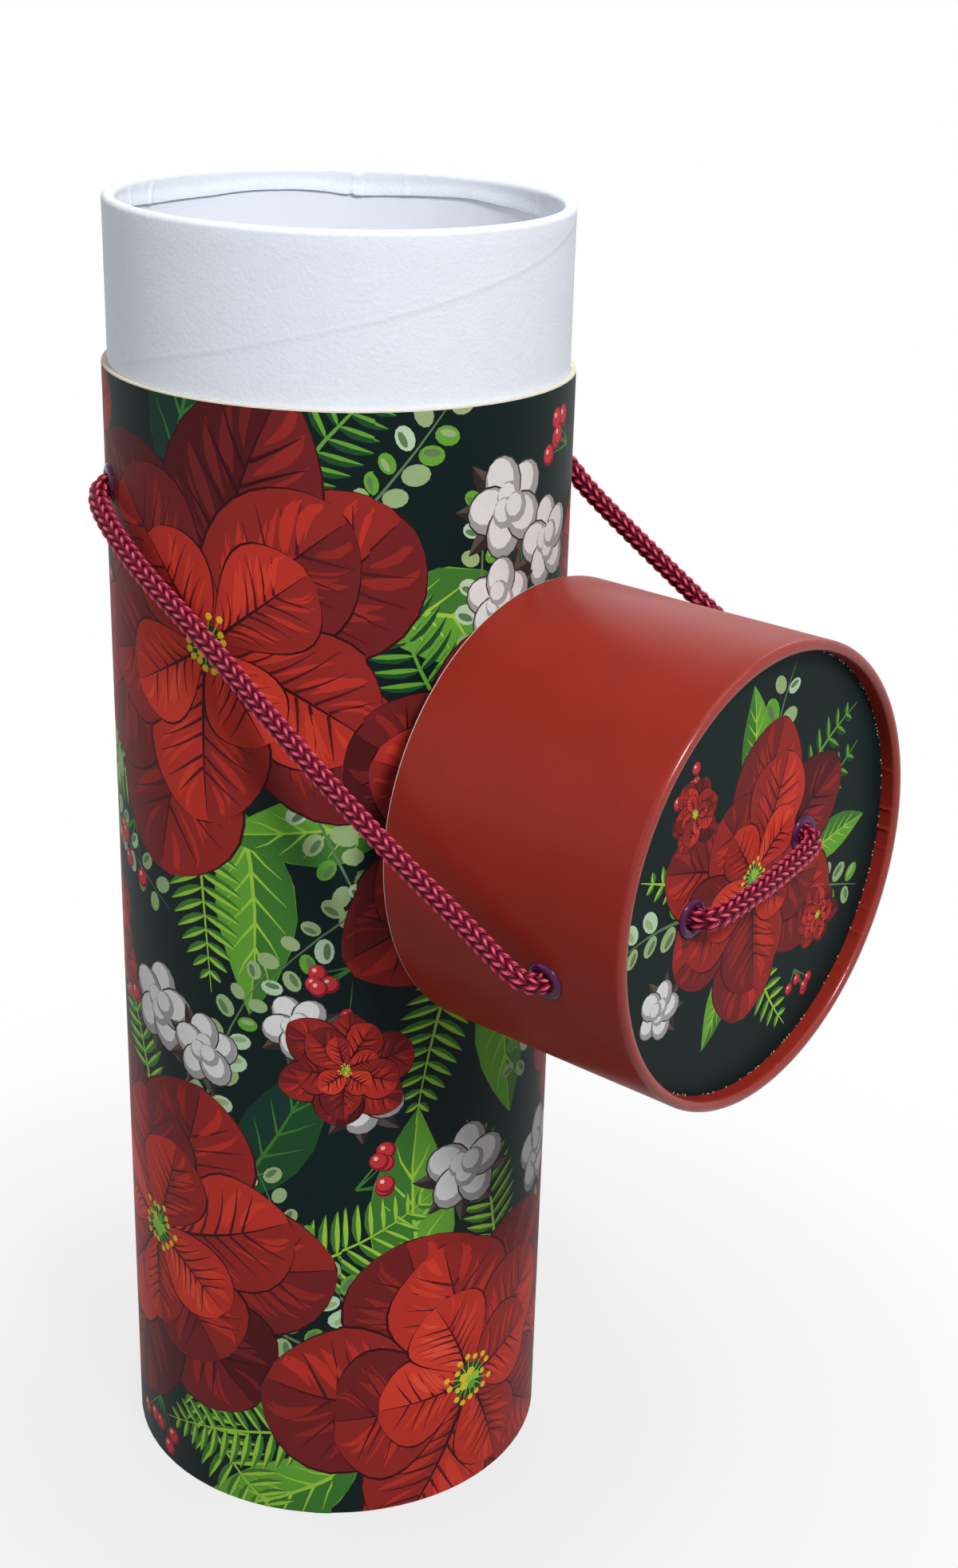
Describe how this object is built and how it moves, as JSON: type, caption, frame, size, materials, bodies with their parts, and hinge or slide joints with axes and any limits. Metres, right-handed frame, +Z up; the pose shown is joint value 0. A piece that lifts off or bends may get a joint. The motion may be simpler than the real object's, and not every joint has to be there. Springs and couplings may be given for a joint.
{
  "type": "cylindrical gift tube box",
  "caption": "Tall board gift tube with a papered neck, and a slip-on lid taken off and hung on the knitted carrying cord that runs through its eyelets.",
  "frame": {"origin": "centre of the tube's foot, on the surface that it stands on", "axes": "+Z up along the tube, +X the way the closed end of the hung lid points"},
  "size_m": [0.1619, 0.117, 0.292],
  "materials": {
    "sleeve_board": "matt",
    "neck_board": "matt",
    "disc_board": "matt",
    "printed_paper": "satin print",
    "white_paper": "matt",
    "base_paper": "satin",
    "red_paper": "satin",
    "eyelet_metal": "gloss",
    "washer_metal": "satin",
    "knitted_cord": "knitted, glossy yarn"
  },
  "bodies": {
    "tube": {"outer_tube": "sleeve_board", "print_wrap": "printed_paper", "neck_tube": "neck_board", "neck_wrap": "white_paper", "inner_lining": "white_paper", "base_disc": "disc_board", "base_cover": "base_paper", "base_liner": "white_paper", "tube_eyelet_left": "eyelet_metal", "tube_eyelet_right": "eyelet_metal", "tube_washer_left": "washer_metal", "tube_washer_right": "washer_metal", "cord_knot_left": "knitted_cord", "cord_knot_right": "knitted_cord"},
    "hanger": {"cord_left": "knitted_cord", "cord_right": "knitted_cord"},
    "lid": {"lid_tube": "disc_board", "lid_wrap": "red_paper", "lid_lining": "white_paper", "lid_disc": "disc_board", "lid_disc_print": "printed_paper", "lid_disc_lining": "white_paper", "lid_side_eyelet_near": "eyelet_metal", "lid_side_eyelet_far": "eyelet_metal", "lid_side_washer_near": "washer_metal", "lid_side_washer_far": "washer_metal", "lid_top_eyelet_near": "eyelet_metal", "lid_top_eyelet_far": "eyelet_metal", "lid_top_washer_near": "washer_metal", "lid_top_washer_far": "washer_metal", "cord_inside_near": "knitted_cord", "cord_inside_far": "knitted_cord"},
    "handle": {"cord_handle": "knitted_cord"}
  },
  "joints": [
    {"name": "lid_swing", "type": "hinge", "parent": "tube", "child": "hanger", "pos_m": [0, 0, 0.2355], "axis": [-0.5, -0.866, 0], "range_deg": [0, 45]},
    {"name": "lid_tilt", "type": "hinge", "parent": "hanger", "child": "lid", "pos_m": [0.0903, 0.0101, 0.1712], "axis": [0, -0.9715, -0.2368], "range_deg": [-22.5, 0]},
    {"name": "handle_pull", "type": "slide", "parent": "lid", "child": "handle", "axis": [1, 0, 0], "range_m": [0, 0.007]}
  ],
  "couplings": [
    {"joint": "lid_tilt", "follows": "lid_swing", "ratio": -0.5}
  ]
}
